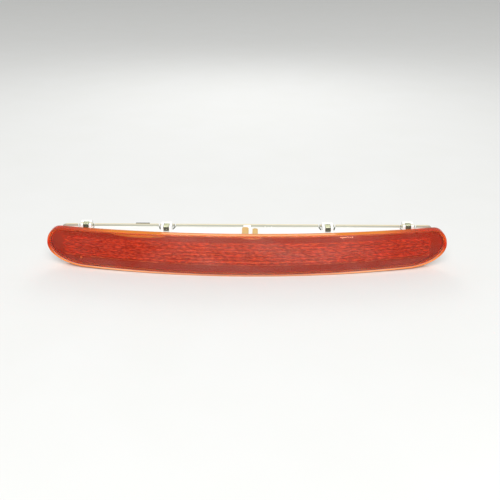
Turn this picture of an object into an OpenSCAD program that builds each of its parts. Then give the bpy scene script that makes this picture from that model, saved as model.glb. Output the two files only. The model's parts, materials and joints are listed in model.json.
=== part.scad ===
// Third brake light for a car's tailgate: a long bowed red lens on a white housing,
// with a board of small LEDs inside and four sprung steel clips along the top.
// X runs along the lamp, the lens faces -Y and +Z is up. The origin is the centre of
// the flat rear seat of the housing, halfway up the lens.

/* [Lamp] */
// Length of the lens from tip to tip
lamp_length = 350; // [346:1:356]
// Height of the lens at the middle
lamp_height = 38.2; // [37.6:0.2:39.4]
// Depth from the front of the lens rim, at the middle, to the rear seat
lamp_depth = 30; // [29:0.5:31]
// How far the tips of the lens stand behind its middle
bow_depth = 22; // [20:0.5:22]

/* [Lens] */
// Thickness of the lens face
face_wall = 2.5; // [2:0.1:2.6]
// Thickness of the lens skirt
skirt_wall = 1.8; // [1.6:0.1:1.8]
// Depth of the lens skirt behind the rim
skirt_depth = 5.5; // [5.3:0.1:5.6]
// How far the face bulges in front of the rim
crown = 2; // [1.6:0.1:3]
// Width of each sideways flute of the inner optic
flute_pitch = 3.3; // [3:0.1:3.3]

/* [Housing] */
// Wall of the housing
housing_wall = 2; // [1.8:0.1:2.2]
// Half of the housing's length behind the lens
housing_half = 160; // [158:0.5:161]
// Height of the upper rear lip above the middle of the lamp
lip_top = 19.4; // [19:0.1:20]

/* [Spring clips] */
// Distance of the two inner clips from the middle
inner_clip_x = 69.5; // [66:0.5:70]
// Distance of the two outer clips from the middle
outer_clip_x = 140; // [138:0.5:140.5]
// Width of each steel clip
clip_width = 4.4; // [3.6:0.1:4.4]
// Thickness of the clip steel
clip_steel = 0.5; // [0.4:0.05:0.5]

/* [LED board] */
// Number of LEDs, always even
led_count = 16; // [16]
// Distance from one LED to the next
led_pitch = 18; // [17.5:0.1:18]

/* [Hidden] */
$fn = 48;
fine = 256;
eps = 0.01;
fit_gap = 0.1;
seat_gap = 0.1;

// Bow of the lens in plan: every bowed face is an arc about this one centre
half_length = lamp_length / 2;
half_height = lamp_height / 2;
bow_radius = (pow(half_length, 2) + pow(bow_depth, 2)) / (2 * bow_depth);
bow_centre_y = bow_radius - lamp_depth;
crown_radius = (pow(half_height, 2) + pow(crown, 2)) / (2 * crown);

// Outline of the lens in front view: two nearly straight edges and oval tips
tip_z = 2.4;
upper_corner = 13;
lower_corner = 35;
top_edge_radius = 10400;
bottom_edge_radius = 5850;
edge_steps = 8;
corner_steps = 12;
// Tongues of the lens on the housing's top wall: [X, width, Y of the end, thickness]
tongues = [[-1.5, 5.6, -8, 1], [6.9, 4.6, -10, 0.5]];

// Housing behind the lens
wall_inset = skirt_wall + fit_gap;
flange_depth = 1.3;
flange_front = bow_radius - skirt_depth + flange_depth;
collar_depth = 1.2;
collar_front = flange_front + collar_depth;
collar_wall = 0.8;
// Pads that key the inner optic, hanging from the collar: [middle, half width, depth,
// from, to] along X
collar_pads = [
  [4.5, 9.6, 1.3, -5.1, 14.1],
  [-93, 26, 2.5, -119, -69.5]
];
upper_body_corner = 10;
lower_body_corner = 20;
lip_front_y = -5.8;
lip_rear_y = -4.4;
lip_corner = 6;
lip_overhang = 2.5;
rib_xs = [15.6, 21.3];
rib_width = 0.8;
hook_xs = [-110, -50, 50, 110];
hook_width = 8;
hook_drop = 1.2;
panel_gap = 1.8;
dimple_x = 35.8;
dimple_r = 0.6;

// Inner optic, with a field of flutes across its height
optic_half_length = 161;
optic_corner = 9;
optic_bottom = -8.6;
flute_count = 6;
optic_top = optic_bottom + flute_count * flute_pitch;
optic_plate = 1.8;
optic_border = 1.2;
notch_gap = 0.15;
optic_inset = wall_inset + collar_wall + notch_gap;
flute_rise = 0.55;
optic_middle = (optic_top + optic_bottom) / 2;

// Spring clips: side view measured from the hinge, which is the curled rear end
inner_clip_length = 8.2;
outer_clip_length = 6.4;
clip_crest = 1.6;
clip_foot = -2.3;
clip_roll_r = 0.9;
clip_window = [1.3, 1.5];
socket_r = 0.95;
hinge_rise = 2.7;
tower_half = 4.6;
tower_slot_half = clip_width / 2 + 0.3;
cheek_rise = 4;
bridge_rise = 5;
bridge_half = 1.4;
pocket_depth = 2.1;
pocket_wall = 1.2;
slot_width = 1.2;
slot_front_x = 4.9;
slot_rear_x = 6.4;
// One row per clip: X, Y of its hinge, Y where its side slots start, length of the clip
clip_stations = [
  [-outer_clip_x, -1.5, -7.6, outer_clip_length],
  [-inner_clip_x, -6.7, -11.4, inner_clip_length],
  [inner_clip_x, -6.7, -11.4, inner_clip_length],
  [outer_clip_x, -1.5, -7.6, outer_clip_length]
];

// Board and what stands on it
board_half = 146;
board_bottom = -13;
board_top = 12.5;
board_rear_y = -3.6;
board_thick = 1.6;
board_front_y = board_rear_y - board_thick;
part_row_z = -11;
screw_xs = [-117, 0, 117];
screw_hole_r = 1.3;
screw_shank_r = 1.05;
pilot_r = 1.1;
boss_r = 2.8;
ear_thick = 2;
led_size = [3.5, 1.9, 2.8];
resistor_xs = [-60, -30, 30, 60];
resistor_size = [5, 0.6, 2.5];
diode_x = -84;
capacitor_x = 84;

// Reflector tray
tray_half = 156;
tray_wall = 1.2;
tray_floor = 1.2;
tray_front = flange_front - 1;
tray_rear_y = board_front_y - fit_gap;
led_hole_r = 2.4;

// Connector at the back
plug_x = -93.7;
plug_z = 8;
plug_size = [12.4, 13, 10];
plug_wall = 1;
plug_floor = 1.5;
plug_flange = [17, 1, 11.2];
seal_thick = 0.6;
pin_size = 0.64;
pin_spread = 2.5;
pin_end_y = 8;
pin_tail_y = board_front_y - 0.9;

// Breather: a round membrane patch in a shallow recess of the rear wall
vent_x = 100;
vent_hole_r = 2.5;
vent_patch_r = 4.9;
vent_patch_thick = 0.35;
vent_recess = 0.5;

function led_name(i) = str("led_", i < 10 ? "0" : "", i);
function led_x(i) = (i - (led_count + 1) / 2) * led_pitch;
function top_edge(x, inset) = half_height - inset - x * x / (2 * top_edge_radius);
function bottom_edge(x, inset) = -half_height + inset + x * x / (2 * bottom_edge_radius);
function wall_top(x) = top_edge(x, wall_inset);
function wall_bottom(x) = bottom_edge(x, wall_inset);
function bowed_y(x, r) = bow_centre_y - sqrt(r * r - x * x);
function arc(cx, cz, rx, rz, from, to) = [
  for (i = [1:corner_steps])
    let (a = from + (to - from) * i / corner_steps)
      [cx + rx * cos(a), cz + rz * sin(a)]
];

// The right half of an outline, from the middle of the bottom to the middle of the top
function right_half(half, inset, upper, lower) =
  let (
    low_x = half - lower,
    high_x = half - upper,
    low_z = bottom_edge(low_x, inset),
    high_z = top_edge(high_x, inset)
  )
  concat(
    [for (i = [0:edge_steps]) let (x = low_x * i / edge_steps) [x, bottom_edge(x, inset)]],
    arc(low_x, tip_z, lower, tip_z - low_z, -90, 0),
    arc(high_x, tip_z, upper, high_z - tip_z, 0, 90),
    [for (i = [edge_steps - 1:-1:0]) let (x = high_x * i / edge_steps) [x, top_edge(x, inset)]]
  );

// A closed outline from its right half
module mirrored_outline(right) {
  last = len(right) - 1;
  left = [for (i = [last - 1:-1:1]) [-right[i][0], right[i][1]]];
  polygon(concat(right, left));
}

// Stands a front-view outline up and extrudes it between two places along Y
module along_y(y0, y1)
  translate([0, y1, 0]) rotate([90, 0, 0]) linear_extrude(height = y1 - y0) children();

// The lens outline, or that outline moved inwards
module lens_prism(inset)
  along_y(-lamp_depth - 2 * crown, fit_gap)
    mirrored_outline(right_half(half_length - inset, inset, upper_corner - inset, lower_corner - inset));

// The outline of the housing's body, or that outline moved inwards
module body_prism(inset, y0, y1)
  along_y(y0, y1)
    mirrored_outline(right_half(
      housing_half - inset, wall_inset + inset, upper_body_corner - inset, lower_body_corner - inset
    ));

// Everything behind a bowed face of radius r
module behind_bow(r)
  translate([0, bow_centre_y, -lamp_height]) cylinder(r = r, h = 2 * lamp_height, $fn = fine);

// A bowed sheet between two radii
module bowed_sheet(r_rear, r_front)
  difference() {
    behind_bow(r_front);
    translate([0, 0, -1]) behind_bow(r_rear);
    translate([0, 0, 1]) behind_bow(r_rear);
  }

// A profile in (radius, height) swept along the bow
module swept_along_bow() {
  half_angle = asin((half_length + 5) / bow_radius);
  translate([0, bow_centre_y, 0])
    rotate([0, 0, -90 - half_angle])
      rotate_extrude(angle = 2 * half_angle, $fn = fine) children();
}

// The crowned bar from which the lens and its hollow are cut
module crowned_bar(r_rear, crown_r)
  swept_along_bow()
    intersection() {
      translate([r_rear, -lamp_height]) square([bow_radius + 2 * crown - r_rear, 2 * lamp_height]);
      translate([bow_radius + crown - crown_radius, 0]) circle(r = crown_r, $fn = fine);
    }

// A tongue that lies on top of the housing, with a round end
module lens_tongue(x, width, y_end, thick) {
  y_root = bowed_y(x, bow_radius - skirt_depth) - 1;
  translate([x, 0, wall_top(x) + 2 * fit_gap])
    linear_extrude(height = thick) {
      translate([-width / 2, y_root]) square([width, y_end - width / 2 - y_root]);
      translate([0, y_end - width / 2]) circle(d = width);
    }
}

module lens() color([0.68, 0.09, 0.05]) {
  difference() {
    intersection() {
      crowned_bar(bow_radius - skirt_depth, crown_radius);
      lens_prism(0);
    }
    intersection() {
      crowned_bar(bow_radius - skirt_depth - 1, crown_radius - face_wall);
      lens_prism(skirt_wall);
    }
  }
  for (t = tongues) lens_tongue(t[0], t[1], t[2], t[3]);
}

// Inner optic: a thin plain border that rests on the housing's flange, and a thicker
// fluted field over the reflector
module inner_optic() color([0.75, 0.12, 0.08]) {
  difference() {
    intersection() {
      swept_along_bow()
        translate([flange_front + seat_gap, -half_height])
          square([optic_border - seat_gap, lamp_height]);
      lens_prism(optic_inset);
    }
    pad_prisms(notch_gap);
  }
  intersection() {
    swept_along_bow() {
      translate([flange_front + optic_border / 2, optic_bottom - 1])
        square([optic_plate - optic_border / 2, optic_top - optic_bottom + 2]);
      for (i = [0:flute_count - 1])
        translate([flange_front + optic_plate, optic_bottom + (i + 0.5) * flute_pitch])
          flute_section();
    }
    along_y(-lamp_depth - 2 * crown, 0) optic_outline();
  }
}

// One flute: a segment of a circle standing on the plate, with a narrow flat beside it
module flute_section() {
  half_chord = flute_pitch / 2 - 0.15;
  r = (pow(half_chord, 2) + pow(flute_rise, 2)) / (2 * flute_rise);
  intersection() {
    translate([flute_rise - r, 0]) circle(r = r);
    translate([-0.3, -flute_pitch / 2]) square([flute_rise + 1, flute_pitch]);
  }
}

module optic_outline() {
  corner = optic_corner;
  square_half = optic_half_length - corner;
  translate([-square_half, optic_bottom]) square([2 * square_half, optic_top - optic_bottom]);
  translate([-optic_half_length, optic_bottom + corner])
    square([2 * optic_half_length, optic_top - optic_bottom - 2 * corner]);
  for (side = [-1, 1], z = [optic_bottom + corner, optic_top - corner])
    translate([side * square_half, z]) circle(r = corner);
}

// Housing: bowed box with a flat back, a flange behind the lens, a collar with pads in
// front of the flange, and a rear lip
module housing_shell() {
  intersection() {
    lens_prism(wall_inset);
    bowed_sheet(bow_radius - skirt_depth, collar_front);
    pad_prisms(0);
  }
  difference() {
    union() {
      intersection() {
        body_prism(0, -lamp_depth, 0);
        behind_bow(flange_front);
      }
      intersection() {
        lens_prism(wall_inset);
        bowed_sheet(bow_radius - skirt_depth, flange_front);
      }
      intersection() {
        lens_prism(wall_inset);
        difference() {
          bowed_sheet(bow_radius - skirt_depth, collar_front);
          lens_prism(wall_inset + collar_wall);
        }
      }
      rear_lip();
      for (s = clip_stations) pocket_block(s);
    }
    difference() {
      body_prism(housing_wall, -lamp_depth - 1, -housing_wall);
      for (s = clip_stations) pocket_block(s);
    }
  }
}

// Front-view shapes of the collar's pads, each a slice of a circle, grown by a margin
module pad_prisms(grow)
  for (p = collar_pads) {
    r = (pow(p[1], 2) + pow(p[2], 2)) / (2 * p[2]);
    centre_z = top_edge(p[0], wall_inset + collar_wall) - p[2] + r;
    along_y(-lamp_depth, 0)
      intersection() {
        translate([p[0], centre_z]) circle(r = r + grow, $fn = fine);
        translate([p[3] - grow, 0]) square([p[4] - p[3] + 2 * grow, lamp_height]);
      }
  }

// Raised lip round the rear of the body, straight along the top and the bottom
module rear_lip() {
  corner = lip_corner;
  half = housing_half + lip_overhang;
  intersection() {
    along_y(lip_front_y, lip_rear_y) {
      translate([-half + corner, -half_height]) square([2 * (half - corner), lip_top + half_height]);
      for (side = [-1, 1]) {
        translate([side * (half - corner), lip_top - corner]) circle(r = corner);
        translate([side * (half - corner), -half_height + corner]) circle(r = corner);
      }
      translate([-half, -half_height + corner]) square([2 * half, lip_top + half_height - 2 * corner]);
    }
    behind_bow(bow_radius - skirt_depth - fit_gap);
  }
}

// Thickening under each clip's pocket and slots, so that the wall stays closed
module pocket_block(s) {
  front = s[1] - s[3] - 1.6;
  half = slot_rear_x + slot_width + 1;
  translate([s[0] - half, front, wall_top(s[0]) - pocket_depth - pocket_wall])
    cube([2 * half, lip_rear_y + 1.5 - front, pocket_depth + pocket_wall - 0.2]);
}

// Two cheeks and a rear bridge, standing on the top wall around one clip
module clip_tower(s)
  translate([s[0], s[1], wall_top(s[0])])
    difference() {
      rotate([90, 0, 90])
        translate([0, 0, -tower_half])
          linear_extrude(height = 2 * tower_half) tower_side(s[3]);
      translate([-tower_slot_half, -s[3] - 2, -1])
        cube([2 * tower_slot_half, s[3] + 2 - bridge_half, bridge_rise + 2]);
      translate([-tower_slot_half, 0, hinge_rise])
        rotate([0, 90, 0]) cylinder(r = socket_r, h = 2 * tower_slot_half);
      translate([-tower_slot_half, -bridge_half - eps, hinge_rise - 0.1])
        cube([2 * tower_slot_half, bridge_half + eps, 1.5]);
    }

// Side view of a tower: sloped at the front, flat on top, higher at the bridge
module tower_side(length)
  polygon([
    [-length - 0.1, -0.6],
    [-length - 0.1, cheek_rise - 0.8],
    [-length + 0.7, cheek_rise],
    [-bridge_half - 1.6, cheek_rise],
    [-bridge_half - 0.2, bridge_rise],
    [bridge_half - 0.5, bridge_rise],
    [bridge_half, bridge_rise - 0.5],
    [bridge_half, -0.6]
  ]);

// Room for the clip to dip into: a pocket for its front leg, and a gap through the
// rear lip where the clip crosses it
module clip_pocket(s) {
  front = s[1] - s[3] - 0.5;
  translate([s[0] - tower_slot_half, front, wall_top(s[0]) - pocket_depth])
    cube([2 * tower_slot_half, 2.6, pocket_depth + 1]);
  translate([s[0] - tower_slot_half, front, wall_top(s[0]) + 0.2])
    cube([2 * tower_slot_half, s[1] - bridge_half - front, bridge_rise]);
}

// Narrow slots that part the lip from a tower, spreading towards the rear
module relief_slots(s)
  for (side = [-1, 1])
    translate([s[0], 0, wall_top(s[0]) - pocket_depth])
      linear_extrude(height = 7)
        polygon([
          [side * slot_front_x, s[2]],
          [side * (slot_front_x + slot_width), s[2]],
          [side * (slot_rear_x + slot_width), lip_rear_y + eps],
          [side * slot_rear_x, lip_rear_y + eps]
        ]);

// Ramped nib at the middle of the lip, which stops the long tongue of the lens
module centre_nib()
  translate([-3.2, 0, 0]) rotate([90, 0, 90]) linear_extrude(height = 6.4)
    polygon([
      [-7.8, wall_top(0) - 1],
      [-7.8, wall_top(0) + 0.5],
      [lip_front_y + 0.4, lip_top + 0.2],
      [lip_rear_y, lip_top + 0.2],
      [lip_rear_y, wall_top(0) - 1]
    ]);

// Thin ribs across the top wall beside the tongues
module top_ribs()
  for (x = rib_xs) {
    front = bowed_y(x, bow_radius - skirt_depth) + 0.3;
    translate([x - rib_width / 2, front, wall_top(x) - 0.5])
      cube([rib_width, lip_front_y + 0.5 - front, 1.3]);
  }

// Fixed hooks under the lamp, which go behind the edge of the body panel
module lower_hooks()
  for (x = hook_xs) {
    front = bowed_y(x, bow_radius - skirt_depth) + panel_gap;
    translate([x - hook_width / 2, 0, 0]) rotate([90, 0, 90]) linear_extrude(height = hook_width)
      polygon([
        [front, wall_bottom(x) + 1],
        [front, wall_bottom(x) - hook_drop],
        [front + 1, wall_bottom(x) - hook_drop],
        [front + 5, wall_bottom(x)],
        [front + 5, wall_bottom(x) + 1]
      ]);
  }

module board_bosses()
  for (x = screw_xs)
    translate([x, -housing_wall + eps, part_row_z]) rotate([90, 0, 0])
      cylinder(r = boss_r, h = -board_rear_y - housing_wall + eps - seat_gap);

module pilot_holes()
  for (x = screw_xs)
    translate([x, -0.8, part_row_z]) rotate([90, 0, 0]) cylinder(r = pilot_r, h = 4);

module housing() color([0.95, 0.95, 0.93])
  difference() {
    union() {
      housing_shell();
      for (s = clip_stations) clip_tower(s);
      centre_nib();
      top_ribs();
      lower_hooks();
      board_bosses();
    }
    for (s = clip_stations) {
      clip_pocket(s);
      relief_slots(s);
    }
    pilot_holes();
    translate([plug_x - plug_size[0] / 2 - 0.2, -housing_wall - 1, plug_z - plug_size[2] / 2 - 0.2])
      cube([plug_size[0] + 0.4, housing_wall + 2, plug_size[2] + 0.4]);
    translate([vent_x, -housing_wall - 1, 0]) rotate([-90, 0, 0])
      cylinder(r = vent_hole_r, h = housing_wall + 2);
    translate([vent_x, -vent_recess, 0]) rotate([-90, 0, 0])
      cylinder(r = vent_patch_r + 0.2, h = 1);
    for (side = [-1, 1])
      translate([side * dimple_x, -10, wall_top(dimple_x) - 0.4]) cylinder(r = dimple_r, h = 2);
  }

// White tray behind the optic, open to the front, with a round hole for each LED
module reflector() color([0.93, 0.93, 0.92])
  difference() {
    union() {
      tray_block(0, tray_rear_y);
      for (x = screw_xs)
        translate([x - 4, tray_rear_y - ear_thick, board_bottom])
          cube([8, ear_thick, optic_bottom + 2 - board_bottom]);
    }
    tray_block(tray_wall, tray_rear_y - tray_floor);
    for (i = [1:led_count])
      translate([led_x(i), tray_rear_y + 1, optic_middle]) rotate([90, 0, 0])
        cylinder(r = led_hole_r, h = tray_floor + 2);
    for (x = screw_xs)
      translate([x, tray_rear_y + 1, part_row_z]) rotate([90, 0, 0])
        cylinder(r = screw_hole_r, h = ear_thick + 2);
    translate([plug_x - 4.5, tray_rear_y - 1, plug_z - 1.5]) cube([9, 2, 3]);
  }

// The tray's outside, or the room inside its walls
module tray_block(inset, rear)
  intersection() {
    translate([-tray_half + inset, -lamp_depth, optic_bottom + inset])
      cube([2 * (tray_half - inset), lamp_depth + rear, optic_top - optic_bottom - 2 * inset]);
    body_prism(housing_wall + 0.4 + inset, -lamp_depth - 1, 0);
    behind_bow(tray_front + 5 * inset);
  }

module circuit_board() color([0.90, 0.91, 0.90])
  difference() {
    translate([-board_half, board_front_y, board_bottom])
      cube([2 * board_half, board_thick, board_top - board_bottom]);
    for (x = screw_xs)
      translate([x, board_rear_y + 1, part_row_z]) rotate([90, 0, 0])
        cylinder(r = screw_hole_r, h = board_thick + 2);
    for (side = [-1, 1])
      translate([plug_x + side * pin_spread, board_rear_y + 1, plug_z]) rotate([90, 0, 0])
        cylinder(r = 0.55, h = board_thick + 2);
  }

// A surface-mounted LED: square body with a shallow round dish
module led(x) color([0.93, 0.90, 0.78])
  difference() {
    translate([x - led_size[0] / 2, board_front_y - led_size[1], optic_middle - led_size[2] / 2])
      cube(led_size);
    translate([x, board_front_y - led_size[1] + 0.4, optic_middle]) rotate([90, 0, 0])
      cylinder(r1 = 0.9, r2 = 1.2, h = 0.5);
  }

// A chip resistor: ceramic body with a step down to each metal end
module resistor(x) color([0.12, 0.12, 0.13]) {
  cap = 0.6;
  body = resistor_size[0] - 2 * cap;
  translate([x - body / 2, board_front_y - resistor_size[1], part_row_z - resistor_size[2] / 2])
    cube([body, resistor_size[1], resistor_size[2]]);
  for (side = [-1, 1])
    translate([
      x + side * (body + cap) / 2 - cap / 2 - 0.05,
      board_front_y - resistor_size[1] + 0.05,
      part_row_z - resistor_size[2] / 2 + 0.05
    ])
      cube([cap + 0.1, resistor_size[1] - 0.05, resistor_size[2] - 0.1]);
}

// A surface-mounted diode with sloped sides and a folded lead at each end
module diode() color([0.10, 0.10, 0.11]) {
  translate([diode_x, board_front_y, part_row_z]) {
    translate([0, 0, -1.3]) linear_extrude(height = 2.6)
      polygon([[-2, -0.15], [-2.1, -1.1], [-1.9, -2.1], [1.9, -2.1], [2.1, -1.1], [2, -0.15]]);
    for (side = [-1, 1])
      translate([side * 2.2 - 0.4, -1.1, -0.7]) cube([0.8, 1.1, 1.4]);
  }
}

// A small electrolytic can on its square base
module capacitor() color([0.72, 0.73, 0.75])
  translate([capacitor_x, board_front_y, part_row_z]) {
    translate([-1.9, -0.8, -1.9]) cube([3.8, 0.8, 3.8]);
    rotate([90, 0, 0]) cylinder(r = 1.8, h = 5.2);
  }

// Pan-head screws through the tray and the board into the housing
module board_screws() color([0.62, 0.63, 0.65])
  for (x = screw_xs)
    translate([x, tray_rear_y - ear_thick, part_row_z]) rotate([90, 0, 0])
      difference() {
        union() {
          cylinder(r1 = 2.3, r2 = 1.7, h = 1.5);
          translate([0, 0, -5]) cylinder(r = screw_shank_r, h = 5 + eps);
        }
        translate([0, 0, 0.8]) linear_extrude(height = 1) {
          square([2.2, 0.5], center = true);
          square([0.5, 2.2], center = true);
        }
      }

// Socket that takes the car's plug, open to the rear
module connector_shell() color([0.16, 0.16, 0.17])
  difference() {
    union() {
      translate([plug_x - plug_size[0] / 2, board_rear_y + eps, plug_z - plug_size[2] / 2])
        cube([plug_size[0], plug_size[1] - board_rear_y, plug_size[2]]);
      translate([plug_x - plug_flange[0] / 2, board_rear_y + eps, plug_z - plug_flange[2] / 2])
        cube([plug_flange[0], plug_flange[1] - eps, plug_flange[2]]);
      translate([plug_x - 2, 0, 0]) rotate([90, 0, 90]) linear_extrude(height = 4)
        polygon([
          [5.5, plug_z + plug_size[2] / 2 - 0.5],
          [5.5, plug_z + plug_size[2] / 2 + 1.1],
          [6.5, plug_z + plug_size[2] / 2 + 1.1],
          [10, plug_z + plug_size[2] / 2],
          [10, plug_z + plug_size[2] / 2 - 0.5]
        ]);
    }
    translate([
      plug_x - plug_size[0] / 2 + plug_wall,
      plug_floor,
      plug_z - plug_size[2] / 2 + plug_wall
    ])
      cube([plug_size[0] - 2 * plug_wall, plug_size[1], plug_size[2] - 2 * plug_wall]);
    for (side = [-1, 1])
      translate([plug_x + side * pin_spread - pin_size / 2, board_rear_y - 1, plug_z - pin_size / 2])
        cube([pin_size, plug_floor - board_rear_y + 2, pin_size]);
  }

module terminal_pins() color([0.80, 0.70, 0.40])
  for (side = [-1, 1])
    translate([plug_x + side * pin_spread - pin_size / 2, pin_tail_y, plug_z - pin_size / 2])
      cube([pin_size, pin_end_y - pin_tail_y, pin_size]);

// Flat seal between the connector's flange and the housing's rear wall
module connector_seal() color([0.15, 0.15, 0.16])
  difference() {
    translate([plug_x - plug_flange[0] / 2, -housing_wall - seal_thick, plug_z - plug_flange[2] / 2])
      cube([plug_flange[0], seal_thick, plug_flange[2]]);
    translate([plug_x - plug_size[0] / 2, -housing_wall - 1, plug_z - plug_size[2] / 2])
      cube([plug_size[0], 2, plug_size[2]]);
  }

// Stuck-on membrane patch that lets the lamp dry out, thinner over its middle
module breather_vent() color([0.14, 0.14, 0.15])
  translate([vent_x, -vent_recess, 0]) rotate([-90, 0, 0])
    difference() {
      cylinder(r = vent_patch_r, h = vent_patch_thick);
      translate([0, 0, vent_patch_thick - 0.1]) cylinder(r = vent_hole_r + 0.5, h = 1);
    }

// Steel leaf clip: curled rear end, long ramp and a front leg with a small window
module spring_clip(s) color([0.55, 0.58, 0.50])
  translate([s[0], s[1], wall_top(s[0]) + hinge_rise])
    difference() {
      rotate([90, 0, 90])
        translate([0, 0, -clip_width / 2])
          linear_extrude(height = clip_width) clip_side(s[3]);
      translate([-clip_window[0] / 2, -s[3] - 1, -1.2]) cube([clip_window[0], 2, clip_window[1]]);
    }

module clip_side(length) {
  difference() {
    union() {
      circle(r = clip_roll_r);
      polygon([
        [0, clip_roll_r],
        [-length + 0.4, clip_crest],
        [-length, clip_crest - 0.4],
        [-length, clip_foot],
        [-length + clip_steel, clip_foot],
        [-length + clip_steel, clip_crest - clip_steel - 0.1],
        [0, clip_roll_r - clip_steel]
      ]);
    }
    circle(r = clip_roll_r - clip_steel);
  }
}

lens();
inner_optic();
housing();
reflector();
circuit_board();
for (i = [1:led_count])
  led(led_x(i));
for (i = [1:4])
  resistor(resistor_xs[i - 1]);
diode();
capacitor();
board_screws();
connector_shell();
terminal_pins();
connector_seal();
breather_vent();
for (i = [1:4])
  spring_clip(clip_stations[i - 1]);
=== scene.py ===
"""Looks for the third brake light: a bowed red lens on a white housing with four steel clips.

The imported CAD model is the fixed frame. The lens, the inner optic and the clips are rebuilt
here as finer meshes in the CAD's own places; every other CAD node keeps its shape and gets
rounded edges and a procedural material. Named lengths are in millimetres and named angles
in degrees, where a comment doesn't say otherwise.
"""

import json
import math

import bmesh
import bpy
from mathutils import Matrix, Vector


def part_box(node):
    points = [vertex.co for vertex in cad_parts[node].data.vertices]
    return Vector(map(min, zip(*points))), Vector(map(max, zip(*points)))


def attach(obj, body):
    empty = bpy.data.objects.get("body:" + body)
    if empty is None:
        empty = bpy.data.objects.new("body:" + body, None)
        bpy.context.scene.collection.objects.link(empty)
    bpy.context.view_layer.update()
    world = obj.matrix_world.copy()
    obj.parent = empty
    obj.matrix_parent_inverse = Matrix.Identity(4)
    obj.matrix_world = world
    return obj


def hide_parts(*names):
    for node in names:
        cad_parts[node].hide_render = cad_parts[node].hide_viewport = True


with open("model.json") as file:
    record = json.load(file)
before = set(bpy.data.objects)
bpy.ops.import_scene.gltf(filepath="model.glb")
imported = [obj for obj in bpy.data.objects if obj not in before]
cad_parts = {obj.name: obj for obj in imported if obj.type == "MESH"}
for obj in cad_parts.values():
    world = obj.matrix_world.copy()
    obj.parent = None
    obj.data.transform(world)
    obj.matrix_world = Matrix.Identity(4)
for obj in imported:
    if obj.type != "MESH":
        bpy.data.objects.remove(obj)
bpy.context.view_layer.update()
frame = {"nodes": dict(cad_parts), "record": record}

MM = 0.001

# ---------------------------------------------------------------- sizes from the frame


def box_mm(node):
    """The lowest and highest corner of a CAD node, in millimetres."""
    low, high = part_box(node)
    return low / MM, high / MM


def middle_x(node):
    """X of the middle of a CAD node."""
    low, high = box_mm(node)
    return (low.x + high.x) / 2


lens_low, lens_high = box_mm("lens")
optic_high = box_mm("inner_optic")[1]

# Bow of the lens in plan and crown of its face
HALF_LENGTH = (lens_high.x - lens_low.x) / 2
HALF_HEIGHT = -lens_low.z
CROWN = 2.0
RIM_Y = lens_low.y + CROWN
BOW_DEPTH = 22.0
BOW_RADIUS = (HALF_LENGTH**2 + BOW_DEPTH**2) / (2 * BOW_DEPTH)
BOW_CENTRE_Y = BOW_RADIUS + RIM_Y
CROWN_RADIUS = (HALF_HEIGHT**2 + CROWN**2) / (2 * CROWN)

# Front-view outline of the lens
TIP_Z = 2.4
UPPER_CORNER = 13.0
LOWER_CORNER = 35.0
LOW_X = HALF_LENGTH - LOWER_CORNER
HIGH_X = HALF_LENGTH - UPPER_CORNER
TOP_EDGE_RADIUS = 10400.0
BOTTOM_EDGE_RADIUS = 5850.0

# Lens walls. REAR_EDGE is the rounding of the skirt's rear edges, EASED_SHARE how far in the
# middle point of a rounding lies, and WELD_GAP stands for the weld of lens and housing.
FACE_WALL = 2.5
SKIRT_WALL = 1.8
SKIRT_DEPTH = 5.5
SKIRT_REAR_Y = RIM_Y + SKIRT_DEPTH
RIM_FILLET = 0.8
INNER_FILLET = 0.8
REAR_EDGE = 0.35
EASED_SHARE = 0.3
WELD_GAP = 0.1
WALL_INSET = SKIRT_WALL + WELD_GAP

# Tongues of the lens that lie on the housing's top wall:
# name, middle, width, y of the free end, thickness
TONGUES = (
    ("lens_tongue_wide", -1.5, 5.6, -8.0, 1.0),
    ("lens_tongue_narrow", 6.9, 4.6, -10.0, 0.5),
)
TONGUE_LIFT = 0.2
TONGUE_ROOT_GAP = 0.02
TONGUE_EDGE_SHARE = 0.22

# Inner optic: plate with a plain border and a field of flutes, seated on the housing's flange
FLANGE_SETBACK = 4.2
FLANGE_FRONT = BOW_RADIUS - FLANGE_SETBACK
SEAT_GAP = 0.1
COLLAR_WALL = 0.8
COLLAR_GAP = 0.15
OPTIC_INSET = WALL_INSET + COLLAR_WALL + COLLAR_GAP
OPTIC_BORDER = 1.2
OPTIC_PLATE = 1.8
FIELD_HALF = 161.0
FIELD_FROM_BOTTOM = 10.5
FIELD_FROM_TOP = 7.9
FIELD_CORNER = 9.0
FLUTE_COUNT = 6
FLUTE_RISE = 0.75
PILLOW_PITCH = 6.0
PILLOW_RISE = 0.3
PILLOW_SHIFT = 0.37
LOWEST_FLUTE = 1.3
# Pads of the housing's collar that the optic is notched for:
# middle, half width and depth of each arc, and the part of it that is there
COLLAR_PADS = ((4.5, 9.6, 1.3, -5.1, 14.1), (-93.0, 26.0, 2.5, -119.0, -69.5))

# Moulding pip on the optic's lower border, and its outline from foot to top
# as shares of its radius and height
PIP_X = -145.6
PIP_Z = -9.3
PIP_RADIUS = 0.9
PIP_HEIGHT = 0.7
PIP_OUTLINE = ((1.0, -0.05), (1.0, 0.25), (0.92, 0.5), (0.7, 0.75), (0.4, 0.93), (0.02, 1.0))


def top_edge(x, inset):
    """Height of the outline's top edge, moved inwards, at x."""
    return HALF_HEIGHT - inset - x * x / (2 * TOP_EDGE_RADIUS)


def bottom_edge(x, inset):
    """Height of the outline's bottom edge, moved inwards, at x."""
    return -HALF_HEIGHT + inset + x * x / (2 * BOTTOM_EDGE_RADIUS)


def bowed_y(x, radius):
    """Y of a bowed face of that radius, at x."""
    return BOW_CENTRE_Y - math.sqrt(radius * radius - x * x)


def face_radius(z, wall):
    """Plan radius of the crowned face at height z, or of the same face wall deeper."""
    return BOW_RADIUS + CROWN - CROWN_RADIUS + math.sqrt((CROWN_RADIUS - wall) ** 2 - z * z)


# ---------------------------------------------------------------- mesh tools

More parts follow.
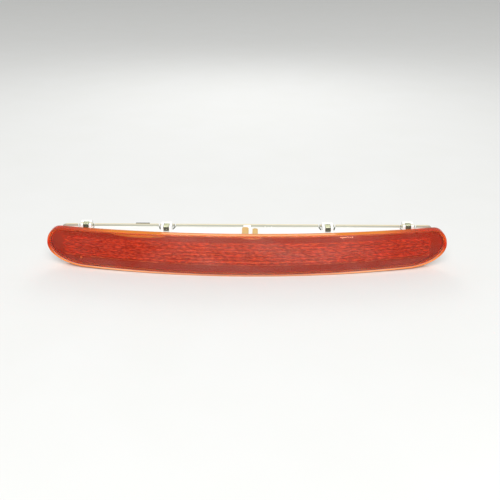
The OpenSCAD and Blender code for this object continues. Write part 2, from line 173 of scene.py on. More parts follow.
WELD_DISTANCE = 0.002
SHORTEST_EDGE = 0.001
PLASTIC_SMOOTH_ANGLE = 35
STEEL_SMOOTH_ANGLE = 60


def new_piece(name, points, faces, material, body, replaced, smooth_angle):
    """A mesh piece from points in millimetres, welded, outward-facing and riding on a body."""
    mesh = bpy.data.meshes.new(name)
    mesh.from_pydata([Vector(p) * MM for p in points], [], faces)
    bm = bmesh.new()
    bm.from_mesh(mesh)
    bmesh.ops.remove_doubles(bm, verts=bm.verts, dist=WELD_DISTANCE * MM)
    bmesh.ops.dissolve_degenerate(bm, edges=bm.edges, dist=SHORTEST_EDGE * MM)
    bmesh.ops.recalc_face_normals(bm, faces=bm.faces)
    limit = math.radians(smooth_angle)
    for face in bm.faces:
        face.smooth = True
    for edge in bm.edges:
        edge.smooth = edge.calc_face_angle(0.0) < limit
    bm.to_mesh(mesh)
    bm.free()
    piece = bpy.data.objects.new(name, mesh)
    bpy.context.scene.collection.objects.link(piece)
    piece.data.materials.append(material)
    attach(piece, body)
    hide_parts(replaced)
    return piece


def plastic_piece(name, points, faces, material, replaced):
    """A piece of the lens or optic, which ride on the lamp's own body."""
    new_piece(name, points, faces, material, "lamp", replaced, PLASTIC_SMOOTH_ANGLE)


def loft(rings):
    """Points and quads that join equal rings of points, each ring closed on itself."""
    count = len(rings[0])
    points = [p for ring in rings for p in ring]
    faces = []
    for r in range(len(rings) - 1):
        here = r * count
        there = here + count
        for i in range(count):
            j = (i + 1) % count
            faces.append((here + i, here + j, there + j, there + i))
    return points, faces


def capped_loft(rings):
    """A loft with one flat face over its first ring and one over its last."""
    points, faces = loft(rings)
    count = len(rings[0])
    faces.append(tuple(range(count)))
    faces.append(tuple(reversed(range(len(points) - count, len(points)))))
    return points, faces


def round_edges(piece, width, limit_angle):
    """A bevel on the edges of a piece that are sharper than an angle."""
    rounding = piece.modifiers.new("edges", "BEVEL")
    rounding.width = width * MM
    rounding.segments = 2
    rounding.limit_method = "ANGLE"
    rounding.angle_limit = math.radians(limit_angle)


# ---------------------------------------------------------------- lens

STRAIGHT_STEPS = 56
ARC_STEPS = 26
FACE_STEPS = 14
RIM_STEPS = 12
INNER_STEPS = 6
SKIRT_FRONT = 2.0
TONGUE_STEPS = 24
CAP_SHARE = 0.98


def half_outline(inset):
    """Right half of the outline moved inwards, from the middle of the bottom to the top."""
    low_z = bottom_edge(LOW_X, inset)
    high_z = top_edge(HIGH_X, inset)
    points = []
    for i in range(STRAIGHT_STEPS + 1):
        x = LOW_X * i / STRAIGHT_STEPS
        points.append((x, bottom_edge(x, inset)))
    for i in range(1, ARC_STEPS + 1):
        angle = -math.pi / 2 * (1 - i / ARC_STEPS)
        x = LOW_X + (LOWER_CORNER - inset) * math.cos(angle)
        points.append((x, TIP_Z + (TIP_Z - low_z) * math.sin(angle)))
    for i in range(1, ARC_STEPS + 1):
        angle = math.pi / 2 * i / ARC_STEPS
        x = HIGH_X + (UPPER_CORNER - inset) * math.cos(angle)
        points.append((x, TIP_Z + (high_z - TIP_Z) * math.sin(angle)))
    for i in range(STRAIGHT_STEPS - 1, -1, -1):
        x = HIGH_X * i / STRAIGHT_STEPS
        points.append((x, top_edge(x, inset)))
    return points


def half_spine():
    """Where each point of the half outline goes as the face closes in on its middle line."""
    points = []
    for i in range(STRAIGHT_STEPS + 1):
        points.append(i / STRAIGHT_STEPS)
    points += [1.0] * (2 * ARC_STEPS)
    for i in range(STRAIGHT_STEPS - 1, -1, -1):
        points.append(i / STRAIGHT_STEPS)
    return [(LOW_X * share, TIP_Z * share * share) for share in points]


def mirrored(half):
    """The closed loop made of a right half and its mirror image."""
    return half + [(-x, z) for x, z in reversed(half[1:-1])]


def face_rings(wall, inset, fillet, fillet_steps):
    """Rings of one side of the lens, from the middle line out and round the fillet."""
    edge = mirrored(half_outline(inset + fillet))
    spine = mirrored(half_spine())
    rings = []
    for s in range(FACE_STEPS):
        share = s / FACE_STEPS
        ring = []
        for (sx, sz), (ex, ez) in zip(spine, edge):
            x = sx + (ex - sx) * share
            z = sz + (ez - sz) * share
            ring.append((x, bowed_y(x, face_radius(z, wall)), z))
        rings.append(ring)
    for s in range(fillet_steps + 1):
        angle = math.pi / 2 * (1 - s / fillet_steps)
        back = fillet * (1 - math.sin(angle))
        ring = []
        for x, z in mirrored(half_outline(inset + fillet * (1 - math.cos(angle)))):
            ring.append((x, bowed_y(x, face_radius(z, wall)) + back, z))
        rings.append(ring)
    return rings


def skirt_ring(inset, forward):
    """A ring of the skirt, some way in front of its rear edge."""
    ring = []
    for x, z in mirrored(half_outline(inset)):
        ring.append((x, bowed_y(x, BOW_RADIUS - SKIRT_DEPTH) - forward, z))
    return ring


def build_lens(material):
    """Face and skirt of the lens: outer side, rear edge and inner side in one loft."""
    outer = face_rings(0, 0, RIM_FILLET, RIM_STEPS)
    inner = face_rings(FACE_WALL, SKIRT_WALL, INNER_FILLET, INNER_STEPS)
    eased = REAR_EDGE * EASED_SHARE
    rear = [
        skirt_ring(0, SKIRT_FRONT),
        skirt_ring(0, REAR_EDGE),
        skirt_ring(eased, eased),
        skirt_ring(REAR_EDGE, 0),
        skirt_ring(SKIRT_WALL - REAR_EDGE, 0),
        skirt_ring(SKIRT_WALL - eased, eased),
        skirt_ring(SKIRT_WALL, REAR_EDGE),
    ]
    points, faces = loft(outer + rear + list(reversed(inner)))
    plastic_piece("lens_shell", points, faces, material, "lens")


def build_tongue(name, centre_x, width, end_y, thick, material):
    """A round-ended tongue of the lens that lies on the housing's top wall."""
    radius = width / 2
    round_y = end_y - radius
    root_y = bowed_y(centre_x, BOW_RADIUS - SKIRT_DEPTH) + TONGUE_ROOT_GAP
    low_z = top_edge(centre_x, WALL_INSET) + TONGUE_LIFT
    high_z = low_z + thick
    side = [(centre_x + radius, root_y)]
    for i in range(TONGUE_STEPS + 1):
        angle = math.pi * i / TONGUE_STEPS
        side.append((centre_x + radius * math.cos(angle), round_y + radius * math.sin(angle)))
    side.append((centre_x - radius, root_y))
    edge = TONGUE_EDGE_SHARE * thick
    eased = EASED_SHARE * edge

    def ring(shrink, z):
        share = (radius - shrink) / radius
        made = []
        for x, y in side:
            past = y - round_y
            along = round_y + (past * share if past > 0 else past)
            made.append((centre_x + (x - centre_x) * share, along, z))
        return made

    rings = [
        ring(radius * CAP_SHARE, low_z),
        ring(edge, low_z),
        ring(eased, low_z + eased),
        ring(0, low_z + edge),
        ring(0, high_z - edge),
        ring(eased, high_z - eased),
        ring(edge, high_z),
        ring(radius * CAP_SHARE, high_z),
    ]
    points, faces = capped_loft(rings)
    plastic_piece(name, points, faces, material, "lens")


# ---------------------------------------------------------------- inner optic

FIELD_STEPS = 304
FIELD_CORNER_STEPS = 16
FIELD_ROWS = 48
PIP_SIDES = 20
ALMOST_ONE = 0.9999


def under_pads(x, z):
    """z, or the height of the notch for a collar pad where there is one at x."""
    for middle, half, depth, start, end in COLLAR_PADS:
        if start - COLLAR_GAP <= x <= end + COLLAR_GAP:
            radius = (half * half + depth * depth) / (2 * depth)
            centre_z = top_edge(middle, WALL_INSET + COLLAR_WALL) - depth + radius
            reach = (radius + COLLAR_GAP) ** 2 - (x - middle) ** 2
            z = min(z, centre_z - math.sqrt(max(0.0, reach)))
    return z


def outline_at(x, inset, upper):
    """Height of the moved-in outline at x, on its upper or lower side."""
    side = abs(x)
    if upper:
        if side <= HIGH_X:
            return under_pads(x, top_edge(side, inset))
        share = min(1.0, (side - HIGH_X) / (UPPER_CORNER - inset))
        return TIP_Z + (top_edge(HIGH_X, inset) - TIP_Z) * math.sqrt(1 - share * share)
    if side <= LOW_X:
        return bottom_edge(side, inset)
    share = min(1.0, (side - LOW_X) / (LOWER_CORNER - inset))
    return TIP_Z + (bottom_edge(LOW_X, inset) - TIP_Z) * math.sqrt(1 - share * share)


def field_columns():
    """X of each column of the fluted field: even steps, then closer round the corners."""
    straight = FIELD_HALF - FIELD_CORNER
    half = [straight * i / FIELD_STEPS for i in range(FIELD_STEPS + 1)]
    for i in range(1, FIELD_CORNER_STEPS + 1):
        angle = math.pi / 2 * i / FIELD_CORNER_STEPS
        half.append(straight + FIELD_CORNER * math.sin(angle))
    return [-x for x in reversed(half[1:])] + half


def field_span(x):
    """Lowest and highest z of the rounded field at x."""
    past = max(0.0, abs(x) - (FIELD_HALF - FIELD_CORNER))
    drop = FIELD_CORNER - math.sqrt(max(0.0, FIELD_CORNER**2 - past**2))
    return bottom_edge(x, FIELD_FROM_BOTTOM) + drop, top_edge(x, FIELD_FROM_TOP) - drop


def pillow(x, z):
    """Height of the flutes and of the pillows across them above the plate."""
    low = bottom_edge(x, FIELD_FROM_BOTTOM)
    high = top_edge(x, FIELD_FROM_TOP)
    place = min(max((z - low) / (high - low), 0.0), ALMOST_ONE) * FLUTE_COUNT
    row = int(place)
    across = (place - row) * 2 - 1
    along = (x / PILLOW_PITCH + PILLOW_SHIFT * row) % 1.0 * 2 - 1
    rise = FLUTE_RISE * (LOWEST_FLUTE if row == 0 else 1)
    return rise * (1 - across * across) + PILLOW_RISE * (1 - along * along)


def build_pip(material):
    """The small moulding vestige on the optic's lower border."""
    border_y = bowed_y(PIP_X, FLANGE_FRONT + OPTIC_BORDER)
    rings = []
    for across, forward in PIP_OUTLINE:
        radius = PIP_RADIUS * across
        y = border_y - PIP_HEIGHT * forward
        ring = []
        for i in range(PIP_SIDES):
            angle = 2 * math.pi * i / PIP_SIDES
            ring.append((PIP_X + radius * math.cos(angle), y, PIP_Z + radius * math.sin(angle)))
        rings.append(ring)
    points, faces = capped_loft(rings)
    plastic_piece("optic_pip", points, faces, material, "inner_optic")


def build_optic(material):
    """The optic plate, in columns that run round its section: border, fluted field, border."""
    columns = field_columns()
    outer_half = optic_high.x
    points = []
    faces = []
    for x in columns:
        low, high = field_span(x)
        ox = x * outer_half / FIELD_HALF
        o_low = outline_at(ox, OPTIC_INSET, False)
        o_high = outline_at(ox, OPTIC_INSET, True)
        rear_y = bowed_y(ox, FLANGE_FRONT + SEAT_GAP)
        border_y = bowed_y(ox, FLANGE_FRONT + OPTIC_BORDER)
        base_y = bowed_y(x, FLANGE_FRONT + OPTIC_BORDER)
        column = [(ox, rear_y, o_low), (ox, border_y, o_low), (x, base_y, low)]
        for j in range(FIELD_ROWS + 1):
            z = low + (high - low) * j / FIELD_ROWS
            rise = pillow(x, z) if 0 < j < FIELD_ROWS else 0
            column.append((x, bowed_y(x, FLANGE_FRONT + OPTIC_PLATE + rise), z))
        column += [(x, base_y, high), (ox, border_y, o_high), (ox, rear_y, o_high)]
        points += column
    count = len(column)
    for c in range(len(columns) - 1):
        here = c * count
        there = here + count
        for i in range(count):
            j = (i + 1) % count
            faces.append((here + i, here + j, there + j, there + i))
    for first in (0, (len(columns) - 1) * count):
        faces.append(tuple(first + i for i in range(2, count - 2)))
        faces.append((first + 1, first + 2, first + count - 3))
    plastic_piece("optic_plate", points, faces, material, "inner_optic")


# ---------------------------------------------------------------- spring clips

CLIP_STEEL = 0.5
CLIP_XS = (middle_x("spring_clip_3"), middle_x("spring_clip_4"))

# Side view of a leaf from its hinge: a curl from one angle to the next, the ramp's crest,
# the bend into the leg, and the leg's foot
CURL_RADIUS = 0.9
CURL_START = -165
CURL_TURN = 255
CURL_STEPS = 21
CREST = 1.6
RAMP_STEPS = 12
BEND_RADIUS = 0.75
BEND_STEPS = 8
FOOT = -2.3
LEG_STEPS = 12
LEG_REACH = 0.5

# Columns of a leaf as shares of its half width, its window and the taper of its foot
CLIP_COLUMNS = (-1, -0.86, -0.62, -0.3, -0.15, 0.15, 0.3, 0.62, 0.86, 1)
WINDOW_SHARE = 0.25
WINDOW_LOW = -1.2
WINDOW_HIGH = 0.3
TAPER_SHARE = 0.16
TAPER_HEIGHT = 0.7
CLIP_ROUNDING = 0.07
CLIP_ROUNDING_ANGLE = 50


def clip_path(length):
    """Middle line of the clip's side view, (y, z) from its hinge: curl, ramp, bend, leg."""
    half = CLIP_STEEL / 2
    curl = CURL_RADIUS - half
    path = []
    for i in range(CURL_STEPS + 1):
        angle = math.radians(CURL_START + CURL_TURN * i / CURL_STEPS)
        path.append((curl * math.cos(angle), curl * math.sin(angle)))
    leg_y = -length + half
    top_z = CREST - half
    ramp_end = leg_y + BEND_RADIUS
    for i in range(1, RAMP_STEPS + 1):
        share = i / RAMP_STEPS
        path.append((ramp_end * share, curl + (top_z - curl) * share))
    leg_top = top_z - BEND_RADIUS
    for i in range(1, BEND_STEPS + 1):
        angle = math.pi / 2 * i / BEND_STEPS
        y = ramp_end - BEND_RADIUS * math.sin(angle)
        path.append((y, leg_top + BEND_RADIUS * math.cos(angle)))
    for i in range(1, LEG_STEPS + 1):
        path.append((leg_y, leg_top + (FOOT - leg_top) * i / LEG_STEPS))
    return path


def build_clip(number, material):
    """A steel leaf as a bent sheet with a window in its leg, thickened to the strip's steel."""
    node = f"spring_clip_{number}"
    low, high = box_mm(node)
    half_width = (high.x - low.x) / 2
    hinge_y = high.y - CURL_RADIUS
    hinge_z = high.z - CREST
    length = hinge_y - low.y
    leg_limit = LEG_REACH - length
    path = clip_path(length)
    points = []
    for y, z in path:
        narrow = 1
        if y < leg_limit:
            narrow -= TAPER_SHARE * max(0.0, (FOOT + TAPER_HEIGHT - z) / TAPER_HEIGHT)
        for column in CLIP_COLUMNS:
            x = middle_x(node) + column * half_width * narrow
            points.append((x, hinge_y + y, hinge_z + z))
    faces = []
    count = len(CLIP_COLUMNS)
    for r in range(len(path) - 1):
        y = (path[r][0] + path[r + 1][0]) / 2
        z = (path[r][1] + path[r + 1][1]) / 2
        beside_window = y >= leg_limit or not WINDOW_LOW < z < WINDOW_HIGH
        for c in range(count - 1):
            off_middle = abs(CLIP_COLUMNS[c] + CLIP_COLUMNS[c + 1]) / 2
            if beside_window or off_middle >= WINDOW_SHARE:
                i = r * count + c
                faces.append((i, i + 1, i + count + 1, i + count))
    name = f"clip_leaf_{number}"
    body = f"clip_{number}"
    leaf = new_piece(name, points, faces, material, body, node, STEEL_SMOOTH_ANGLE)
    sheet = leaf.modifiers.new("sheet", "SOLIDIFY")
    sheet.thickness = CLIP_STEEL * MM
    sheet.offset = 0
    sheet.use_even_offset = True
    round_edges(leaf, CLIP_ROUNDING, CLIP_ROUNDING_ANGLE)


# ---------------------------------------------------------------- materials


class Shader:
    """A Principled material and the few nodes that the finishes here are made of."""

    def __init__(self, name):
        self.material = bpy.data.materials.new(name)
        self.material.use_nodes = True
        self.nodes = self.material.node_tree.nodes
        self.links = self.material.node_tree.links
        self.bsdf = self.nodes["Principled BSDF"]
        self.output = self.nodes["Material Output"]
        self.coordinates = self.nodes.new("ShaderNodeTexCoord")
        self.place = self.coordinates.outputs["Object"]

    def set(self, **values):
        """Sets sockets of the Principled node, named with _ for each space."""
        for key, value in values.items():
            self.bsdf.inputs[key.replace("_", " ")].default_value = value

    def feed(self, socket, value):
        """Links another node's output to a socket, or sets the socket to a number or colour."""
        if isinstance(value, bpy.types.NodeSocket):
            self.links.new(value, socket)
        elif isinstance(value, tuple):
            socket.default_value = (*value, 1)
        else:
            socket.default_value = value

    def stretched(self, x, y, z):
        """The place on the object, scaled along each axis."""
        mapping = self.nodes.new("ShaderNodeMapping")
        mapping.inputs["Scale"].default_value = (x, y, z)
        self.links.new(self.place, mapping.inputs["Vector"])
        return mapping.outputs["Vector"]

    def noise(self, size, detail, vector=None):
        """Noise whose features are about that size across."""
        node = self.nodes.new("ShaderNodeTexNoise")
        node.inputs["Scale"].default_value = 1 / (size * MM)
        node.inputs["Detail"].default_value = detail
        self.links.new(vector or self.place, node.inputs["Vector"])
        return node.outputs["Fac"]

    def spread(self, value, low, high, from_low=0.3, from_high=0.7):
        """Turns one range into another; noise lies mostly between 0.3 and 0.7."""
        node = self.nodes.new("ShaderNodeMapRange")
        node.inputs["From Min"].default_value = from_low
        node.inputs["From Max"].default_value = from_high
        node.inputs["To Min"].default_value = low
        node.inputs["To Max"].default_value = high
        self.links.new(value, node.inputs["Value"])
        return node.outputs["Result"]

    def fade(self, distance, first, second, start, end):
        """Goes from first to second while a distance goes from start to end."""
        return self.spread(distance, first, second, start * MM, end * MM)

    def mix(self, factor, first, second, kind="RGBA"):
        """A mix of two colours, or of two numbers where the kind is "FLOAT"."""
        node = self.nodes.new("ShaderNodeMix")
        node.data_type = kind
        self.feed(node.inputs["Factor"], factor)
        self.feed(node.inputs["A"], first)
        self.feed(node.inputs["B"], second)
        return node.outputs["Result"]

    def mix_value(self, factor, first, second):
        return self.mix(factor, first, second, "FLOAT")

    def math(self, operation, first, second=0.0):
        node = self.nodes.new("ShaderNodeMath")
        node.operation = operation
        self.feed(node.inputs[0], first)
        self.feed(node.inputs[1], second)
        return node.outputs["Value"]

    def times(self, first, second):
        return self.math("MULTIPLY", first, second)

    def either(self, first, second):
        return self.math("MAXIMUM", first, second)

    def absolute(self, value):
        return self.math("ABSOLUTE", value)

    def apart(self, value, middle):
        """Distance of a value from a middle, on either side of it."""
        return self.absolute(self.math("SUBTRACT", value, middle * MM))

    def axis(self, name, source="Object"):
        """One part of the place on the object, or of its normal with source "Normal"."""
        node = self.nodes.new("ShaderNodeSeparateXYZ")
        self.links.new(self.coordinates.outputs[source], node.inputs["Vector"])
        return node.outputs[name]

    def sag(self, x, radius):
        """How far an edge of that radius has fallen away at x."""
        return self.times(self.times(x, x), 1 / (2 * radius * MM))

    def below_top(self):
        """Distance below the lens's top edge, which is nearly straight."""
        sag = self.sag(self.axis("X"), TOP_EDGE_RADIUS)
        return self.math("SUBTRACT", HALF_HEIGHT * MM, self.math("ADD", self.axis("Z"), sag))

    def above_bottom(self):
        """Distance above the lens's bottom edge, where that is nearly straight."""
        sag = self.sag(self.axis("X"), BOTTOM_EDGE_RADIUS)
        return self.math("ADD", HALF_HEIGHT * MM, self.math("SUBTRACT", self.axis("Z"), sag))

    def inside_lower_edge(self):
        """Distance inwards from the lower half of the lens's outline, round its tips too."""
        across = self.absolute(self.axis("X"))
        straight = self.math("MINIMUM", across, LOW_X * MM)
        sag = self.sag(straight, BOTTOM_EDGE_RADIUS)
        depth = self.math("SUBTRACT", (TIP_Z + HALF_HEIGHT) * MM, sag)
        down = self.math("DIVIDE", self.math("SUBTRACT", TIP_Z * MM, self.axis("Z")), depth)
        out = self.math("DIVIDE", self.math("SUBTRACT", across, straight), LOWER_CORNER * MM)
        reach = self.math("ADD", self.times(down, down), self.times(out, out))
        return self.times(self.math("SUBTRACT", 1.0, self.math("SQRT", reach)), depth)

    def between(self, value, low, high, soft):
        """1 between two distances and 0 outside them, with soft ends."""
        enter = self.fade(value, 0, 1, low - soft, low)
        leave = self.fade(value, 1, 0, high, high + soft)
        return self.times(enter, leave)

    def colour(self, socket):
        self.links.new(socket, self.bsdf.inputs["Base Color"])

    def transmission(self, socket):
        self.links.new(socket, self.bsdf.inputs["Transmission Weight"])

    def roughness(self, socket):
        self.links.new(socket, self.bsdf.inputs["Roughness"])

    def metallic(self, socket):
        self.links.new(socket, self.bsdf.inputs["Metallic"])

    def bump(self, height, depth, strength):
        node = self.nodes.new("ShaderNodeBump")
        node.inputs["Distance"].default_value = depth * MM
        node.inputs["Strength"].default_value = strength
        self.links.new(height, node.inputs["Height"])
        self.links.new(node.outputs["Normal"], self.bsdf.inputs["Normal"])

    def absorb(self, colour, density):
        """Colours the light along its way inside the plastic; the density is per metre."""
        node = self.nodes.new("ShaderNodeVolumeAbsorption")
        node.inputs["Color"].default_value = (*colour, 1)
        node.inputs["Density"].default_value = density
        self.links.new(node.outputs["Volume"], self.output.inputs["Volume"])


# Open ends of a band for between(): a distance is never below zero, and nothing is that far
NO_START = -1
NO_END = 99

# Where the lens's finishes change. TIPS is the distance from its middle over which the tips'
# own colours come in, LOWER_SKIRT the height over which the upper skirt's painted glow turns
# into the lower skirt's brighter one, and STRIP_TOP and STRIP_MILK_TOP the heights over which
# the strip of painted glow along the lower edge loses its colour and its milkiness.
TIPS = (115, 150)
LOWER_SKIRT = (-9, 9)
TONGUE_SPAN = 11
TONGUE_SOFT = 0.5
TONGUE_FADE = 0.2
STRIP_WIDTH = 1.5
STRIP_SOFT = 0.9
STRIP_TOP = (3, 8)
STRIP_MILK_TOP = (-12, 3)
STRIP_MILK_SPAN = (30, 110)
# Painted reflection haze on the face: where it is strongest across the lens, and the distances over
# which it fades towards the tips
PAINTED_HAZE_MIDDLE = 18
PAINTED_HAZE_SPAN = (75, 110)
SKIRT_NORMAL = (0.55, 0.9)

# Milky shares of the lens: how much light its plastic scatters instead of letting it through.
# The milky skirt and strip paint the glow of light carried along the plastic, and the milky
# tongues paint the light that comes through them onto the housing.
UPPER_MILK = 0.45
UPPER_TIP_MILK = 0.2
LOWER_MILK = 0.85
STRIP_MILK = (0.55, 0.95)
TONGUE_MILK = 0.5
# Painted reflection haze: how strong it is, and how much of it stays at the tips and on the lower
# border
PAINTED_HAZE_AMOUNT = (0.02, 0.06)
PAINTED_HAZE_AT_TIPS = 0.3
PAINTED_HAZE_ON_LOWER_BORDER = 0.65


def lens_plastic():
    """Clear orange-red acrylic: a polished face with a painted reflection haze, and a milky skirt,
    strip along the lower edge and tongues that paint the glow of light through the plastic."""
    shader = Shader("lens_red_acrylic")
    shader.set(IOR=1.38, Specular_IOR_Level=0.45, Specular_Tint=(1.0, 0.56, 0.38, 1))
    across = shader.absolute(shader.axis("X"))
    tips = shader.fade(across, 0, 1, *TIPS)
    lower = shader.fade(shader.axis("Z"), 1, 0, *LOWER_SKIRT)
    behind_skirt = shader.fade(shader.axis("Y"), 0, 1, SKIRT_REAR_Y, SKIRT_REAR_Y + TONGUE_FADE)
    near_middle = shader.between(across, NO_START, TONGUE_SPAN, TONGUE_SOFT)
    tongues = shader.times(near_middle, behind_skirt)
    skirt = shader.spread(shader.absolute(shader.axis("Y", "Normal")), 1, 0, *SKIRT_NORMAL)
    skirt = shader.times(skirt, shader.math("SUBTRACT", 1.0, tongues))
    # Strip of painted glow along the lower edge and round the lower half of the tips
    strip = shader.times(
        shader.between(shader.inside_lower_edge(), NO_START, STRIP_WIDTH, STRIP_SOFT),
        shader.fade(shader.axis("Z"), 1, 0, *STRIP_TOP),
    )

    flow = shader.spread(shader.noise(9, 4, shader.stretched(0.25, 1, 1)), 0, 1)
    face = shader.mix(flow, (1.0, 0.93, 0.88), (0.97, 0.86, 0.78))
    # Painted orange glow of light carried along the plastic: deeper at the tips, paler on the lower
    # skirt
    upper_glow = shader.mix(tips, (1.0, 0.38, 0.01), (0.85, 0.12, 0.01))
    lower_glow = shader.mix(tips, (1.0, 0.45, 0.20), (1.0, 0.28, 0.05))
    skirt_glow = shader.mix(lower, upper_glow, lower_glow)
    shell = shader.mix(shader.either(skirt, strip), face, skirt_glow)
    # Tongues: pale yellow-orange and half milky, a painted brightness for the light that comes
    # through them onto the housing
    shader.colour(shader.mix(tongues, shell, (1.0, 0.74, 0.28)))

    # Painted reflection haze, strongest near the middle of the face and on the lower border; where it
    # lies, the face shows its pale colour instead of letting the light through
    off_middle = shader.apart(shader.axis("X"), PAINTED_HAZE_MIDDLE)
    sheen_and_wear = shader.either(
        shader.fade(off_middle, 1, PAINTED_HAZE_AT_TIPS, *PAINTED_HAZE_SPAN),
        shader.spread(lower, 0, PAINTED_HAZE_ON_LOWER_BORDER, 0.7, 1),
    )
    painted_haze = shader.spread(shader.noise(12, 4, shader.stretched(0.4, 1, 1)), *PAINTED_HAZE_AMOUNT)
    painted_haze = shader.times(sheen_and_wear, painted_haze)
    # The milky skirt and strip paint the glow; the lower skirt is milkier, so its painted glow is
    # brighter
    upper_milk = shader.mix_value(tips, UPPER_MILK, UPPER_TIP_MILK)
    milky = shader.times(skirt, shader.mix_value(lower, upper_milk, LOWER_MILK))
    bright = shader.times(strip, shader.fade(across, *STRIP_MILK, *STRIP_MILK_SPAN))
    bright = shader.times(bright, shader.fade(shader.axis("Z"), 1, 0, *STRIP_MILK_TOP))
    milky = shader.either(milky, bright)
    # Milky tongues: part of their painted brightness
    milky = shader.either(milky, shader.times(tongues, TONGUE_MILK))
    shader.transmission(shader.math("SUBTRACT", 1.0, shader.math("ADD", milky, painted_haze)))

    shader.roughness(shader.spread(shader.noise(1.6, 5), 0.02, 0.06))
    shader.bump(shader.noise(2.4, 2), 0.004, 0.4)
    shader.absorb((1.0, 0.72, 0.10), 900)
    return shader.material


# Where the optic's finishes change. The line just below the field's lower edge is a painted
# highlight; its pair of numbers is how far below that edge it starts and ends. CLEAR_BORDER and
# CLEAR_STREAKS are the shares of light let through by the plain border and by the dull and the
# bright parts of the field, whose bright parts are painted highlight dashes.
FIELD_SOFT = 0.3
FIELD_END_SOFT = 1
PAINTED_HIGHLIGHT_LINE = (0.9, 0.3)
PAINTED_HIGHLIGHT_SOFT = 0.25
PIP_SOFT = 0.15
CLEAR_BORDER = 0.38
CLEAR_STREAKS = (0.50, 0.22)


def optic_plastic():
    """Cloudy red acrylic: part of the light comes back from inside it, the rest goes through."""
    shader = Shader("optic_red_acrylic")
    # Stretched noise: random tone in the plain border, and in the field bright painted highlight
    # dashes along the flutes
    tone_and_highlight_streaks = shader.noise(1.0, 3, shader.stretched(0.22, 1, 1))
    tone_and_highlight_streaks = shader.spread(tone_and_highlight_streaks, 0, 1, 0.40, 0.60)
    across = shader.absolute(shader.axis("X"))
    field_end = FIELD_HALF - FIELD_END_SOFT
    along_field = shader.between(across, NO_START, field_end, FIELD_END_SOFT)
    fluted = shader.times(
        shader.between(shader.above_bottom(), FIELD_FROM_BOTTOM, NO_END, FIELD_SOFT),
        shader.between(shader.below_top(), FIELD_FROM_TOP, NO_END, FIELD_SOFT),
    )
    fluted = shader.times(fluted, along_field)
    # Painted highlight line just below the field's lower edge
    first_low, first_high = (FIELD_FROM_BOTTOM - below for below in PAINTED_HIGHLIGHT_LINE)
    first = shader.between(shader.above_bottom(), first_low, first_high, PAINTED_HIGHLIGHT_SOFT)
    first = shader.times(first, shader.spread(tone_and_highlight_streaks, 0.25, 0.9, 0, 1))
    first = shader.times(first, along_field)
    pip = shader.times(
        shader.between(shader.apart(shader.axis("X"), PIP_X), NO_START, PIP_RADIUS, PIP_SOFT),
        shader.between(shader.apart(shader.axis("Z"), PIP_Z), NO_START, PIP_RADIUS, PIP_SOFT),
    )

    # The field's bright colour paints the highlight dashes of its flutes
    field = shader.mix(tone_and_highlight_streaks, (0.72, 0.028, 0.012), (1.0, 0.14, 0.05))
    plain = shader.mix(tone_and_highlight_streaks, (0.66, 0.035, 0.02), (0.60, 0.03, 0.018))
    moulded = shader.mix(first, shader.mix(fluted, plain, field), (1.0, 0.34, 0.12))
    shader.colour(shader.mix(pip, moulded, (1.0, 0.55, 0.16)))

    clear = shader.mix_value(fluted, CLEAR_BORDER, shader.spread(tone_and_highlight_streaks, *CLEAR_STREAKS, 0, 1))
    solid = shader.math("SUBTRACT", 1.0, shader.either(first, pip))
    shader.set(IOR=1.49)
    shader.transmission(shader.times(clear, solid))
    shader.roughness(shader.spread(shader.noise(1.2, 5), 0.10, 0.2))
    shader.bump(shader.noise(1.1, 2), 0.006, 0.4)
    return shader.material


def moulded_plastic(name, light, dark, rough_low, rough_high, grain=0.35, grain_depth=0.012):
    """Opaque moulded plastic: faint mottling, a fine spark-eroded grain and uneven gloss."""
    shader = Shader(name)
    mottle = shader.noise(14, 5)
    shader.colour(shader.mix(shader.spread(mottle, 0, 1), light, dark))
    shader.roughness(shader.spread(shader.noise(2.5, 4), rough_low, rough_high))
    shader.bump(shader.noise(grain, 3), grain_depth, 0.6)
    return shader.material


# Painted shade inside the slots beside the clips: depth below the top wall's outline, front of
# the slots, and distance from the clip's middle
SLOT_DEPTH = (0.3, 2.2)
SLOT_FRONT = -12.3
SLOT_FROM_CLIP = (4.8, 7.7)
SLOT_SOFT = 0.2
SLOT_EDGE_SOFT = 0.1

# Rear lip of the housing: the y over which its colours come in and go out, the z over which
# they come in, and the z over which the painted shade on its face turns into the painted pale
# yellow glow along its upper edge
LIP_FRONT = (-6.1, -5.7)
LIP_REAR = (-4.5, -4.2)
LIP_BOTTOM = (17.0, 17.6)
LIP_TOP = (19.0, 19.3)


def slot_shade_mask(shader):
    """Where the painted shade inside the slots beside the clips goes, as a mask."""
    slot_top, slot_bottom = (WALL_INSET + depth for depth in SLOT_DEPTH)
    deep = shader.between(shader.below_top(), slot_top, slot_bottom, SLOT_EDGE_SOFT)
    behind = shader.between(shader.axis("Y"), SLOT_FRONT, 0, SLOT_SOFT)
    across = shader.absolute(shader.axis("X"))
    inner, outer = (
        shader.between(shader.apart(across, clip_x), *SLOT_FROM_CLIP, SLOT_SOFT) for clip_x in CLIP_XS
    )
    return shader.times(shader.times(deep, behind), shader.math("ADD", inner, outer))


